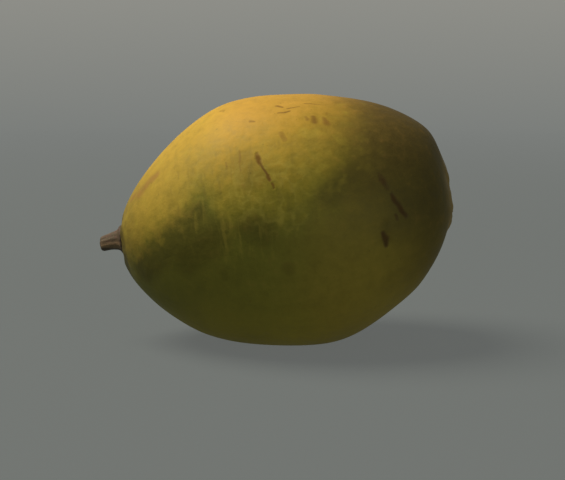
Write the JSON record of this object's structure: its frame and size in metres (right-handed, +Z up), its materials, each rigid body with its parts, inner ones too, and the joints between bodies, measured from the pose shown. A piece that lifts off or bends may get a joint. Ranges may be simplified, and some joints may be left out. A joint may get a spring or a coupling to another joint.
{
  "type": "pear",
  "caption": "Whole ripe yellow-green pear lying on its side, egg-shaped, with a short woody stalk and a dried calyx, for still lifes, fruit bowls and food scenes.",
  "frame": {"origin": "middle of the pear's length and width, on the surface that it rests on", "axes": "+Z up, +X from the stalk towards the eye (the flower end), which lies higher than the stalk end"},
  "size_m": [0.0958, 0.0678, 0.0672],
  "materials": {
    "skin": "thin waxy fruit skin, satin, ochre flush over olive green with small brown scars",
    "stalk": "matt woody bark",
    "dried_calyx": "matt dry papery husk"
  },
  "bodies": {
    "root": {"fruit": "skin", "stem": "stalk", "sepal_1": "dried_calyx", "sepal_2": "dried_calyx", "sepal_3": "dried_calyx", "sepal_4": "dried_calyx", "sepal_5": "dried_calyx", "stamens": "dried_calyx"}
  },
  "joints": []
}
